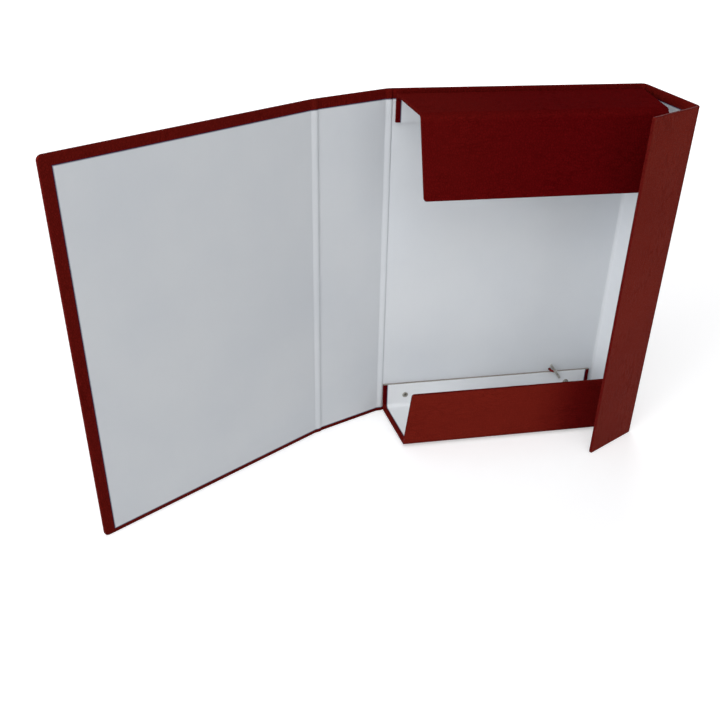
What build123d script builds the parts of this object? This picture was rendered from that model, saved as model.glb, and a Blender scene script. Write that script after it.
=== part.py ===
from build123d import *
import math
import os

# Folding box file: five covered boards wrap round the papers, and two U-shaped flaps close the ends.
# X runs across the back panel from the spine to the fore edge, Y from the front to the back, Z is up.
# The origin is the middle of the back panel's bottom edge, on which the box stands.

# Outer sizes of the closed box
HEIGHT = 350.0
WIDTH = 250.0
DEPTH = 80.0
FLAP_WIDTH = 67.0

# Make-up of a covered panel, counted from its outer face inwards
SKIN = 0.4
BOARD = 2.2
LINING_PROUD = 0.1
PANEL = SKIN + BOARD + SKIN
LINING = SKIN + LINING_PROUD
LINED = SKIN + BOARD + LINING
EDGE_ROUND = 0.8

# Width of covering that shows on the inner face, from the edge to the lining
TOP_MARGIN = 9.0
BOTTOM_MARGIN = 4.5
FORE_MARGIN = 10.0
END_MARGIN = 4.5
LIP_MARGIN = 6.0

# Flexible grooves between the boards, and how far the lining stands up in the middle of each
COVER_GROOVE = 8.0
FLAP_GROOVE = 10.0
SPINE_RIDGE = 1.0
CORNER_RIDGE = 0.3

# How far each fold of the wraparound cover is bent as the box stands open, in degrees
SPINE_BEND = 23.0
COVER_BEND = 9.0
SIDE_BEND = 80.0
CLOSING_BEND = 72.0
SQUARE_BEND = 90.0

# Running clearances of the closed box
COVER_EDGE_GAP = 1.0
FLAP_GAP = 0.4
LIP_GAP = 0.5

# U-shaped end flaps
END_RECESS = 3.0
TOP_LEG = 27.0
BOTTOM_LEG = 31.0
TOP_LIP = 77.0
BOTTOM_LIP = 63.0
TOP_SPINE_GAP = 4.9
TOP_FORE_GAP = 2.2
BOTTOM_SPINE_GAP = 2.2
BOTTOM_FORE_GAP = 4.9
TOP_TAPER = 6.5
BOTTOM_TAPER = 8.5
LIP_TAPER = 6.5

# Rounding of the free corners, seen from the face
COVER_CORNER = 4.5
FLAP_CORNER = 2.0
LIP_CORNER = 3.0

# Rivets that fix the legs to the back
RIVET_SPINE_INSET = 24.5
RIVET_FORE_INSET = 26.5
RIVET_FROM_EDGE = 14.0
RIVET_HOLE = 1.7
RIVET_TUBE = 1.6
RIVET_BORE = 1.0
RIVET_STEM = 0.95
FLANGE_RADIUS = 3.1
FLANGE_THICK = 0.7
CAP_RADIUS = 4.0
CAP_RIM = 0.4
CAP_RISE = 0.9
STEM_SHORT = 1.4
TUBE_SHORT = 0.3

# Elastic cord and its T-bars
CORD_RADIUS = 1.3
CORD_HOLE = 1.8
CORD_FROM_FLAP_EDGE = 12.5
CORD_FROM_LEG = 2.5
CORD_BEND = 2.8
CORD_OFF_FACE = 0.45
CORD_JOINT_GAP = 0.1
STUB_BEND = 2.4
STUB_STRAIGHT = 0.2
STUB_CLEAR = 0.3
STUB_ANGLE = -5.0
BAR_LENGTH = 23.5
BAR_WIDTH = 2.6
BAR_THICK = 1.2
BAR_ANGLE = -55.0
CRIMP_WALL = 0.45
CRIMP_LENGTH = 2.4

MIDDLE = WIDTH / 2
OUTER_FACE = PANEL / 2
WRAP_ROUND = min(EDGE_ROUND, PANEL / 3)
X_AXIS = Vector(1, 0, 0)
Z_AXIS = Vector(0, 0, 1)


class Fold:
    """A groove between two boards: the outer corner's radius when square, and the hinge line's inset."""

    def __init__(self, groove, opens_flat):
        self.radius = 2 * groove / math.pi
        self.inset = self.radius - groove / 2 if opens_flat else self.radius / 2
        self.step = self.radius - self.inset

    def bend_radius(self, bend):
        """Outer radius of the arc that joins the two boards' outer faces when bent by this angle."""
        half = math.radians(bend) / 2
        half_chord = self.step * math.cos(half) + self.inset * math.sin(half)
        return half_chord / math.sin(half)


COVER_FOLD = Fold(COVER_GROOVE, opens_flat=True)
OPENING_FOLD = Fold(FLAP_GROOVE, opens_flat=True)
CLOSING_FOLD = Fold(FLAP_GROOVE, opens_flat=False)


class Panel:
    """A covered board in sheet coordinates: X along the sheet, Y along the folds, Z inwards.

    start and end are X positions, and a span is the lowest and highest Y at that end.
    free tells which of the two ends is an edge that the covering is turned round.
    margins are the widths of covering inside the low side, the high side and a free end.
    """

    def __init__(self, start, end, start_span, end_span, free, margins, corner=COVER_CORNER):
        self.start, self.end = start, end
        self.start_span, self.end_span = start_span, end_span
        self.free = free
        self.side_margins = margins[:2]
        self.free_margin = margins[2]
        self.corner = corner

    def span_at(self, u, insets):
        share = (u - self.start) / (self.end - self.start)
        low = self.start_span[0] + share * (self.end_span[0] - self.start_span[0])
        high = self.start_span[1] + share * (self.end_span[1] - self.start_span[1])
        return low + insets[0], high - insets[1]

    def outline(self, side_insets, free_inset, corner):
        """Face of the panel, drawn in from its wrapped edges, with rounded corners at a free end."""
        first = self.start + (free_inset if self.free[0] else 0)
        last = self.end - (free_inset if self.free[1] else 0)
        low_first, high_first = self.span_at(first, side_insets)
        low_last, high_last = self.span_at(last, side_insets)
        points = [(first, low_first), (last, low_last), (last, high_last), (first, high_first)]
        face = make_face(Polyline(*points, close=True))
        free_ends = [u for u, is_free in zip((first, last), self.free) if is_free]
        corners = [v for v in face.vertices() if any(abs(v.X - u) < SKIN / 2 for u in free_ends)]
        return fillet(corners, corner) if corners and corner > 0 else face

    def envelope(self):
        """The whole panel's thickness with its wrapped edges rounded."""
        block = extrude(self.outline((0, 0), 0, self.corner), PANEL)
        folded_ends = [u for u, is_free in zip((self.start, self.end), self.free) if not is_free]
        flat = [e for e in block.edges() if abs(e.position_at(0).Z - e.position_at(1).Z) < SKIN]
        wrapped = [e for e in flat if not any(abs(e.center().X - u) < SKIN for u in folded_ends)]
        return fillet(wrapped, WRAP_ROUND)

    def board(self):
        face = self.outline((SKIN, SKIN), SKIN, self.corner - SKIN)
        return Pos(0, 0, SKIN) * extrude(face, BOARD)

    def lining(self):
        face = self.outline(self.side_margins, self.free_margin, 0)
        return Pos(0, 0, SKIN + BOARD) * extrude(face, LINING)

    def covering(self):
        """The outer skin, turned round the free edges and laid on the inner face up to the lining."""
        return self.envelope() - self.board() - self.lining()


def fold_strip(fold, edge, bend, span, ridge, towards=1):
    """Bent strip of covering and lining that starts at the sheet position edge and runs along X.

    Its outer side is an arc that carries on both boards' outer faces, and its inner side joins
    their linings and stands up by ridge in the middle.
    """
    outer = fold.bend_radius(bend)
    inner = outer - LINED
    angle = math.radians(bend)

    def on_arc(radius, share):
        turn = angle * share
        return edge + towards * radius * math.sin(turn), outer - radius * math.cos(turn)

    rim = ThreePointArc(on_arc(outer, 0), on_arc(outer, 0.5), on_arc(outer, 1))
    bore = ThreePointArc(on_arc(inner, 1), on_arc(inner - ridge, 0.5), on_arc(inner, 0))
    ends = [Line(rim @ 1, bore @ 0), Line(bore @ 1, rim @ 0)]
    section = make_face([rim, ends[0], bore, ends[1]])
    return extrude(Plane.XZ.offset(-span[1]).location * section, span[1] - span[0])


class Sheet:
    """A flat lay-out in space, with the folds that turn a panel or strip of it into place."""

    def __init__(self, plane, folds=()):
        self.plane = plane
        self.folds = list(folds)

    def beyond(self, fold, edge, direction, angle, towards=1):
        """The same sheet on the far side of one more fold, whose groove starts at X = edge."""
        on_hinge = Vector(edge + towards * fold.step, 0, fold.inset)
        line = Axis(self.plane.from_local_coords(on_hinge), direction)
        return Sheet(self.plane, [(line, angle)] + self.folds)

    def place(self, shape):
        placed = self.plane.location * shape
        for line, angle in self.folds:
            placed = placed.rotate(line, angle)
        return placed

    def hinge(self):
        """The newest fold's hinge line as it lies when the box stands open."""
        line = self.folds[0][0]
        for outer_line, angle in self.folds[1:]:
            turn = Edge.make_line(line.position, line.position + line.direction).rotate(outer_line, angle)
            line = Axis(turn @ 0, turn @ 1 - turn @ 0)
        return line


# Wraparound cover, laid flat with the back panel in place
R = COVER_FOLD.radius
STEP = COVER_FOLD.step
SIDE_DEPTH = DEPTH + FLAP_GAP + LINED
FULL = (0, HEIGHT)

back_end = WIDTH - R
spine_start = R - 2 * STEP
spine_end = spine_start - (DEPTH - 2 * R)
cover_start = spine_end - 2 * STEP
cover_end = cover_start - (WIDTH - LINED - COVER_EDGE_GAP - R)
side_start = back_end + 2 * STEP
side_end = side_start + SIDE_DEPTH - 2 * R
closing_start = side_end + 2 * STEP
closing_end = closing_start + FLAP_WIDTH - R

back_sheet = Sheet(Plane(origin=(-MIDDLE, OUTER_FACE, 0), x_dir=(1, 0, 0), z_dir=(0, -1, 0)))
spine_sheet = back_sheet.beyond(COVER_FOLD, R, Z_AXIS, SPINE_BEND, -1)
cover_sheet = spine_sheet.beyond(COVER_FOLD, spine_end, Z_AXIS, COVER_BEND, -1)
side_sheet = back_sheet.beyond(COVER_FOLD, back_end, Z_AXIS, -SIDE_BEND)
closing_sheet = side_sheet.beyond(COVER_FOLD, side_end, Z_AXIS, -CLOSING_BEND)

# U-shaped end flaps, each laid flat in the plane of its leg
LEG_FACE = OUTER_FACE - LINED
LIP_FACE = OUTER_FACE - DEPTH + LINED + LIP_GAP
WALL_DEPTH = LEG_FACE - LIP_FACE


class EndFlap:
    """Sizes and sheets of one U-shaped flap: leg on the back, wall across the end, lip in front."""

    def __init__(self, corner, up, leg, lip, gaps, taper, wall_fold, lip_fold):
        self.leg_height = leg
        self.start = LINED + gaps[0]
        self.end = WIDTH - LINED - gaps[1]
        self.taper = taper
        self.wall_fold, self.lip_fold = wall_fold, lip_fold
        self.up = up
        self.corner = corner
        self.leg_end = -wall_fold.radius
        self.wall_start = self.leg_end + 2 * wall_fold.step
        self.wall_end = self.wall_start + WALL_DEPTH - wall_fold.radius - lip_fold.radius
        self.lip_start = self.wall_end + 2 * lip_fold.step
        self.lip_end = self.lip_start + lip - lip_fold.radius
        plane = Plane(origin=(-MIDDLE, LEG_FACE, corner), x_dir=(0, 0, up), z_dir=(0, -1, 0))
        turn = up * SQUARE_BEND
        self.leg_sheet = Sheet(plane)
        self.wall_sheet = self.leg_sheet.beyond(wall_fold, self.leg_end, X_AXIS, turn)
        self.lip_sheet = self.wall_sheet.beyond(lip_fold, self.wall_end, X_AXIS, turn)

    def span(self, taper):
        """Y range in sheet coordinates of a line across the flap, drawn in by the taper at both ends."""
        low = self.start + taper
        high = self.end - taper
        return (low, high) if self.up < 0 else (-high, -low)

    def leg(self):
        full = self.span(0)
        margins = (END_MARGIN, END_MARGIN, 0)
        return Panel(-self.leg_height, self.leg_end, full, full, (False, False), margins)

    def wall(self):
        near, far = self.span(0), self.span(self.taper)
        margins = (END_MARGIN, END_MARGIN, 0)
        return Panel(self.wall_start, self.wall_end, near, far, (False, False), margins)

    def lip(self):
        near, far = self.span(self.taper), self.span(self.taper + LIP_TAPER)
        margins = (END_MARGIN, END_MARGIN, LIP_MARGIN)
        return Panel(self.lip_start, self.lip_end, near, far, (False, True), margins, LIP_CORNER)

    def wall_strip(self):
        return fold_strip(self.wall_fold, self.leg_end, SQUARE_BEND, self.span(0), CORNER_RIDGE)

    def lip_strip(self):
        return fold_strip(self.lip_fold, self.wall_end, SQUARE_BEND, self.span(self.taper), CORNER_RIDGE)

    def rivet_places(self):
        """X and Z of the leg's two rivets, at a set distance from its free edge."""
        height = self.corner - self.up * (self.leg_height - RIVET_FROM_EDGE)
        spine_side = self.start + RIVET_SPINE_INSET - MIDDLE
        fore_side = self.end - RIVET_FORE_INSET - MIDDLE
        return [(spine_side, height), (fore_side, height)]

    def cord_place(self):
        """X and Z of the cord's hole, just beyond the leg's edge."""
        height = self.corner - self.up * (self.leg_height + CORD_FROM_LEG)
        return WIDTH - FLAP_WIDTH + CORD_FROM_FLAP_EDGE - MIDDLE, height


TOP_GAPS = (TOP_SPINE_GAP, TOP_FORE_GAP)
BOTTOM_GAPS = (BOTTOM_SPINE_GAP, BOTTOM_FORE_GAP)
TOP = EndFlap(
    HEIGHT - END_RECESS, 1, TOP_LEG, TOP_LIP, TOP_GAPS, TOP_TAPER, OPENING_FOLD, CLOSING_FOLD
)
BOTTOM = EndFlap(
    END_RECESS, -1, BOTTOM_LEG, BOTTOM_LIP, BOTTOM_GAPS, BOTTOM_TAPER, CLOSING_FOLD, OPENING_FOLD
)
LEG_INNER_FACE = LEG_FACE - LINED


def cover_panels():
    """The five panels of the wraparound cover, by name, each with the sheet that places it."""
    edge_margins = (BOTTOM_MARGIN, TOP_MARGIN, FORE_MARGIN)
    return {
        "back": (Panel(R, back_end, FULL, FULL, (False, False), edge_margins), back_sheet),
        "spine": (Panel(spine_end, spine_start, FULL, FULL, (False, False), edge_margins), spine_sheet),
        "front_cover": (Panel(cover_end, cover_start, FULL, FULL, (True, False), edge_margins), cover_sheet),
        "side_wall": (Panel(side_start, side_end, FULL, FULL, (False, False), edge_margins), side_sheet),
        "closing_flap": (
            Panel(closing_start, closing_end, FULL, FULL, (False, True), edge_margins, FLAP_CORNER),
            closing_sheet,
        ),
    }


def flap_panels():
    """The three panels of each end flap, by name, each with the sheet that places it."""
    panels = {}
    for name, flap in (("top", TOP), ("bottom", BOTTOM)):
        panels[f"{name}_leg"] = (flap.leg(), flap.leg_sheet)
        panels[f"{name}_wall"] = (flap.wall(), flap.wall_sheet)
        panels[f"{name}_lip"] = (flap.lip(), flap.lip_sheet)
    return panels


def fold_strips():
    """The eight flexible strips, by name, bent as the box stands open."""
    spine_back = fold_strip(COVER_FOLD, R, SPINE_BEND, FULL, SPINE_RIDGE, towards=-1)
    cover_spine = fold_strip(COVER_FOLD, spine_end, COVER_BEND, FULL, SPINE_RIDGE, towards=-1)
    back_side = fold_strip(COVER_FOLD, back_end, SIDE_BEND, FULL, CORNER_RIDGE)
    side_flap = fold_strip(COVER_FOLD, side_end, CLOSING_BEND, FULL, CORNER_RIDGE)
    strips = {
        "spine_back_fold": back_sheet.place(spine_back),
        "cover_spine_fold": spine_sheet.place(cover_spine),
        "back_side_fold": back_sheet.place(back_side),
        "side_flap_fold": side_sheet.place(side_flap),
    }
    for name, flap in (("top", TOP), ("bottom", BOTTOM)):
        strips[f"{name}_leg_wall_fold"] = flap.leg_sheet.place(flap.wall_strip())
        strips[f"{name}_wall_lip_fold"] = flap.wall_sheet.place(flap.lip_strip())
    return strips


def rod_along_y(radius, first, last):
    """Round rod on the Y axis between two Y positions."""
    return Plane((0, first, 0), z_dir=(0, 1, 0)).location * extrude(Circle(radius), last - first)


def drilled(shape, radius, places):
    """The shape with a round hole along Y at each X and Z."""
    for x, z in places:
        shape = shape - Pos(x, 0, z) * rod_along_y(radius, -DEPTH / 2, DEPTH / 2)
    return shape


def rivet_post():
    """Tube through leg and back, with a rolled flange on the leg's inner face."""
    flange_face = LEG_INNER_FACE - FLANGE_THICK
    tube = rod_along_y(RIVET_TUBE, flange_face, OUTER_FACE - TUBE_SHORT)
    flange = rod_along_y(FLANGE_RADIUS, flange_face, LEG_INNER_FACE)
    rim = flange.edges().filter_by(GeomType.CIRCLE).sort_by(Axis.Y)[0]
    post = fillet(rim, FLANGE_THICK / 2) + tube
    return post - rod_along_y(RIVET_BORE, flange_face - 1, OUTER_FACE)


def rivet_cap():
    """Domed cap on the back's outer face, with the stem that is driven into the tube."""
    rim_face = OUTER_FACE + CAP_RIM
    sphere = (CAP_RADIUS**2 + CAP_RISE**2) / (2 * CAP_RISE)
    ball = Pos(0, rim_face + CAP_RISE - sphere, 0) * Sphere(sphere)
    dome = ball & rod_along_y(CAP_RADIUS, rim_face, rim_face + CAP_RISE)
    rim = rod_along_y(CAP_RADIUS, OUTER_FACE, rim_face)
    stem = rod_along_y(RIVET_STEM, LEG_INNER_FACE + STEM_SHORT, OUTER_FACE)
    return dome + rim + stem


def rivet_pair(make, flap):
    """The like pieces of a flap's two rivets, as separate solids."""
    return Compound(children=[Pos(x, 0, z) * make() for x, z in flap.rivet_places()])


def round_tube(points, bends):
    """Round cord along straight runs joined by tangent arcs."""
    path = FilletPolyline(*points, radius=bends)
    section = Plane(origin=path @ 0, z_dir=path % 0).location * Circle(CORD_RADIUS)
    return sweep(section, path=path)


def elastic_cord():
    """The cord behind the back, through both holes to the inner face."""
    x, low = BOTTOM.cord_place()
    high = TOP.cord_place()[1]
    behind = OUTER_FACE + CORD_OFF_FACE + CORD_RADIUS
    inside = LEG_FACE
    points = [(x, inside, low), (x, behind, low), (x, behind, high), (x, inside, high)]
    bend = min(CORD_BEND, 0.9 * (behind - inside))
    return round_tube(points, [bend, bend])


SLEEVE_RADIUS = CORD_RADIUS + CRIMP_WALL
STUB_FACE = LEG_INNER_FACE - STUB_CLEAR - SLEEVE_RADIUS
STUB_REACH = STUB_BEND + STUB_STRAIGHT + CRIMP_LENGTH


def stub_direction(flap):
    angle = math.radians(STUB_ANGLE)
    return Vector(math.cos(angle), 0, -flap.up * math.sin(angle))


def cord_end(flap):
    """End of the cord: out of the hole, then bent aside to the T-bar."""
    x, z = flap.cord_place()
    mouth = Vector(x, LEG_FACE - CORD_JOINT_GAP, z)
    corner = Vector(x, STUB_FACE, z)
    tip = corner + stub_direction(flap) * STUB_REACH
    return round_tube([mouth, corner, tip], [STUB_BEND])


def t_bar(flap):
    """Flat metal bar with rounded ends and the crimped sleeve that grips the cord's end."""
    x, z = flap.cord_place()
    middle = Vector(x, STUB_FACE, z) + stub_direction(flap) * STUB_REACH
    along = stub_direction(flap)
    bar = extrude(SlotOverall(BAR_LENGTH, BAR_WIDTH), BAR_THICK / 2, both=True)
    turned = Rot(0, flap.up * BAR_ANGLE, 0) * Rot(90, 0, 0) * bar
    sleeve_start = Plane(origin=middle - along * CRIMP_LENGTH, z_dir=along)
    sleeve = sleeve_start.location * extrude(Circle(SLEEVE_RADIUS), CRIMP_LENGTH + BAR_WIDTH / 2)
    return Pos(*middle) * turned + sleeve - cord_end(flap)


def build_nodes():
    """Every node of the box file, by name."""
    nodes = {}
    for name, (panel, sheet) in (cover_panels() | flap_panels()).items():
        nodes[f"{name}_board"] = sheet.place(panel.board())
        nodes[f"{name}_covering"] = sheet.place(panel.covering())
        nodes[f"{name}_lining"] = sheet.place(panel.lining())
    cord_places = [TOP.cord_place(), BOTTOM.cord_place()]
    for layer in ("board", "covering", "lining"):
        back = f"back_{layer}"
        nodes[back] = drilled(nodes[back], CORD_HOLE, cord_places)
        nodes[back] = drilled(nodes[back], RIVET_HOLE, TOP.rivet_places() + BOTTOM.rivet_places())
        for name, flap in (("top", TOP), ("bottom", BOTTOM)):
            leg = f"{name}_leg_{layer}"
            nodes[leg] = drilled(nodes[leg], RIVET_HOLE, flap.rivet_places())
    nodes |= fold_strips()
    nodes["elastic_cord"] = elastic_cord()
    for name, flap in (("upper", TOP), ("lower", BOTTOM)):
        nodes[f"{name}_rivet_posts"] = rivet_pair(rivet_post, flap)
        nodes[f"{name}_rivet_caps"] = rivet_pair(rivet_cap, flap)
        nodes[f"{name}_cord_end"] = cord_end(flap)
        nodes[f"{name}_t_bar"] = t_bar(flap)
    return nodes


os.makedirs("parts", exist_ok=True)
for node_name, node in build_nodes().items():
    export_step(node, f"parts/{node_name}.step")
print("cord bends behind the back and at its ends, mm:", CORD_BEND, STUB_BEND)
folded_sheets = {"spine": spine_sheet, "front cover": cover_sheet, "side wall": side_sheet,
                 "closing flap": closing_sheet, "top wall": TOP.wall_sheet, "top lip": TOP.lip_sheet,
                 "bottom wall": BOTTOM.wall_sheet, "bottom lip": BOTTOM.lip_sheet}
for sheet_name, folded in folded_sheets.items():
    line = folded.hinge()
    print("hinge line of the", sheet_name, "passes", line.position, "along", line.direction)
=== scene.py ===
import math
import bpy
import numpy as np
from mathutils import Matrix, Vector


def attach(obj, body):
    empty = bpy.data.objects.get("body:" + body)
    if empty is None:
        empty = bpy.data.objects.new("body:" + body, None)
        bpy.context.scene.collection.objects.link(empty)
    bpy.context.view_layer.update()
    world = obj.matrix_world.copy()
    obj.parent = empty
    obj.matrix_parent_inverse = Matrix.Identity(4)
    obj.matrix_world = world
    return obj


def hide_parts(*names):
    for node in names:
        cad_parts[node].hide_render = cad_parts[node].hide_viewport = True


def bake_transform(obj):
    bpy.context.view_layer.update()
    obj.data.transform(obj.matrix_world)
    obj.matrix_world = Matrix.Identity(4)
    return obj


# Folding box file: red leatherette over board, lined with white paper.
# Lengths are in metres. X runs from the spine to the fore edge, Y from the front to the back, Z is up.

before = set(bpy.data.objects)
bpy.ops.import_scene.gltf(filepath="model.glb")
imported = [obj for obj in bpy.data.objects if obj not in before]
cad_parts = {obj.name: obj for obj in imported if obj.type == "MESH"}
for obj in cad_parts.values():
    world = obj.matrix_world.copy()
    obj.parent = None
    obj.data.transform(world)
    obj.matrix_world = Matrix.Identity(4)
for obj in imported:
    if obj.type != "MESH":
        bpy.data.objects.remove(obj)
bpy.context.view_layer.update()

mm = 0.001

# Outer sizes of the closed box
HEIGHT = 350 * mm
WIDTH = 250 * mm
DEPTH = 80 * mm
FLAP_WIDTH = 67 * mm
HALF_WIDTH = WIDTH / 2

# Make-up of a covered panel, from its outer face inwards
SKIN = 0.4 * mm
BOARD = 2.2 * mm
LINING = 0.5 * mm
PANEL = SKIN + BOARD + SKIN
LINED = SKIN + BOARD + LINING
WRAP_ROUND = 0.8 * mm
OUTER_FACE = PANEL / 2

# Width of leatherette turned in round each edge, up to the paper
TOP_MARGIN = 9 * mm
BOTTOM_MARGIN = 4.5 * mm
FORE_MARGIN = 10 * mm
END_MARGIN = 4.5 * mm
LIP_MARGIN = 6 * mm

# Folds: width of the groove between two boards, how far the paper stands up in it, and the bend in degrees
COVER_GROOVE = 8 * mm
FLAP_GROOVE = 10 * mm
SPINE_RIDGE = 1.0 * mm
CORNER_RIDGE = 0.3 * mm
SPINE_BEND = 23
COVER_BEND = 9
SIDE_BEND = 80
CLOSING_BEND = 72
SQUARE_BEND = 90

# Clearances of the closed box
COVER_EDGE_GAP = 1.0 * mm
FLAP_GAP = 0.4 * mm
LIP_GAP = 0.5 * mm

# U-shaped end flaps
END_RECESS = 3 * mm
TOP_LEG = 27 * mm
BOTTOM_LEG = 31 * mm
TOP_LIP = 77 * mm
BOTTOM_LIP = 63 * mm
WIDE_GAP = 4.9 * mm
NARROW_GAP = 2.2 * mm
TOP_TAPER = 6.5 * mm
BOTTOM_TAPER = 8.5 * mm
LIP_TAPER = 6.5 * mm

# Elastic cord and T-bars
CORD_RADIUS = 1.3 * mm
CORD_FROM_FLAP_EDGE = 12.5 * mm
CORD_FROM_LEG = 2.5 * mm
CORD_OFF_FACE = 0.45 * mm
CORD_JOINT_GAP = 0.1 * mm
STUB_CLEAR = 0.3 * mm
STUB_REACH = 5.0 * mm
STUB_ANGLE = -5
SLEEVE_RADIUS = 1.75 * mm
SLEEVE_LENGTH = 2.4 * mm
BAR_LENGTH = 23.5 * mm
BAR_WIDTH = 2.6 * mm
BAR_THICK = 1.2 * mm
BAR_ANGLE = -55

LEG_FACE = OUTER_FACE - LINED
LEG_INNER_FACE = LEG_FACE - LINED
LIP_FACE = OUTER_FACE - DEPTH + LINED + LIP_GAP

X = np.array([1.0, 0, 0])
Y = np.array([0, 1.0, 0])
Z = np.array([0, 0, 1.0])


def paint(red, green, blue):
    """Linear colour of a screen colour whose parts run from 0 to 255."""
    parts = np.array([red, green, blue]) / 255
    linear = np.where(parts <= 0.04045, parts / 12.92, ((parts + 0.055) / 1.055) ** 2.4)
    return (*linear.tolist(), 1.0)


RED = paint(88, 7, 10)
# Darker red: painted shade in the furrows and creases, and the dark end of the random mottle
DEEP_RED = paint(62, 1, 3)
# Painted sheen: paler brown-red laid on where the leatherette would show a reflection
PAINTED_SHEEN_RED = paint(124, 38, 26)
# Wear along the wrapped edges, and painted highlight along them and on the folds
WORN_AND_HIGHLIGHT_RED = paint(124, 46, 34)
PAPER = paint(213, 216, 219)
PAPER_SHADE = paint(205, 209, 214)
# Painted light: whiter paper for the shaded inside of the bottom flap
PAINTED_LIGHT_PAPER = paint(228, 230, 232)
# Painted shadow: dark purple line along the lining paper's border
PAINTED_SHADOW_LINE = paint(42, 30, 66)
BOARD_GREY = paint(150, 146, 138)
BOARD_FLECK = paint(112, 108, 102)
NICKEL = paint(206, 203, 194)
TARNISH = paint(128, 123, 112)
ELASTIC_RED = paint(118, 20, 16)
# Darker red of the braid: painted shade down between the strands
ELASTIC_DARK = paint(58, 4, 8)
WHITE = (1, 1, 1, 1)

# Grain of the leatherette. A rate is the number of features in a metre.
CREASE_WIDTH = 3 * mm
CREASE_STRETCH = 6
CREASE_LEAN = 24 * mm
LEAN_RATE = 14
CREASED_PATCH_RATE = 24
PEBBLE_RATE = 440
PEBBLE_WANDER = 2 * mm
WANDER_RATE = 260
FINE_GRAIN_RATE = 1300
GRAIN_DEPTH = 0.35 * mm

# Wear, painted sheen and painted highlight of the leatherette, and its painted shadow line: the last pair is
# how far from the paper's border that painted shadow line fades
CLOUD_RATE = 9
MOTTLE_RATE = 60
WEAR_AND_HIGHLIGHT_RATE = 500
WORN_EDGE = 1.2 * mm
# The painted sheen stays off this strip along the edges
SHEEN_FREE_EDGE = 1.0 * mm
SHADOW_LINE_FADE = (0.25 * mm, 0.7 * mm)

# Lining paper
PAPER_CLOUD_RATE = 11
FIBRE_RATE = 900
LAID_RATE = 120
# Width of the painted shadow line along the paper's border
SHADOW_BORDER = 1.1 * mm
PAPER_RELIEF = 0.03 * mm

# Greyboard
FLECK_RATE = 1400
PULP_RATE = 320
BOARD_RELIEF = 0.08 * mm

# Nickel plate
SCRATCH_RATE = 5200
TARNISH_RATE = 420
SCRATCH_RELIEF = 0.02 * mm
RIVET_DULLNESS = 0.45

# Braid: strands of each set round the cord, and crossings in a length of one diameter
STRANDS = 8
CROSSINGS = 2.6
FUZZ_RATE = 9000
BRAID_RELIEF = 0.12 * mm

# Steps of the meshes
ARC_STEPS = 25
CORNER_STEPS = 6
SIDE_STEPS = 36
CORD_STEPS = 20
SHARP_FROM = math.radians(50)

# The paper's ridge over the share s of a groove, ridge * s^rise (1 - s)^fall / peak
RIDGE_RISE = 0.6
RIDGE_FALL = 1.4
RIDGE_PEAK = 0.295


class Wire:
    """A shader value that takes Python's operators, each of which adds its Math node."""

    def __init__(self, finish, socket):
        self.finish = finish
        self.socket = socket

    def __add__(self, other):
        return self.finish.maths("ADD", self, other)

    def __sub__(self, other):
        return self.finish.maths("SUBTRACT", self, other)

    def __rsub__(self, other):
        return self.finish.maths("SUBTRACT", other, self)

    def __mul__(self, other):
        return self.finish.maths("MULTIPLY", self, other)

    def __abs__(self):
        return self.finish.maths("ABSOLUTE", self)

    __radd__ = __add__
    __rmul__ = __mul__


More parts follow.
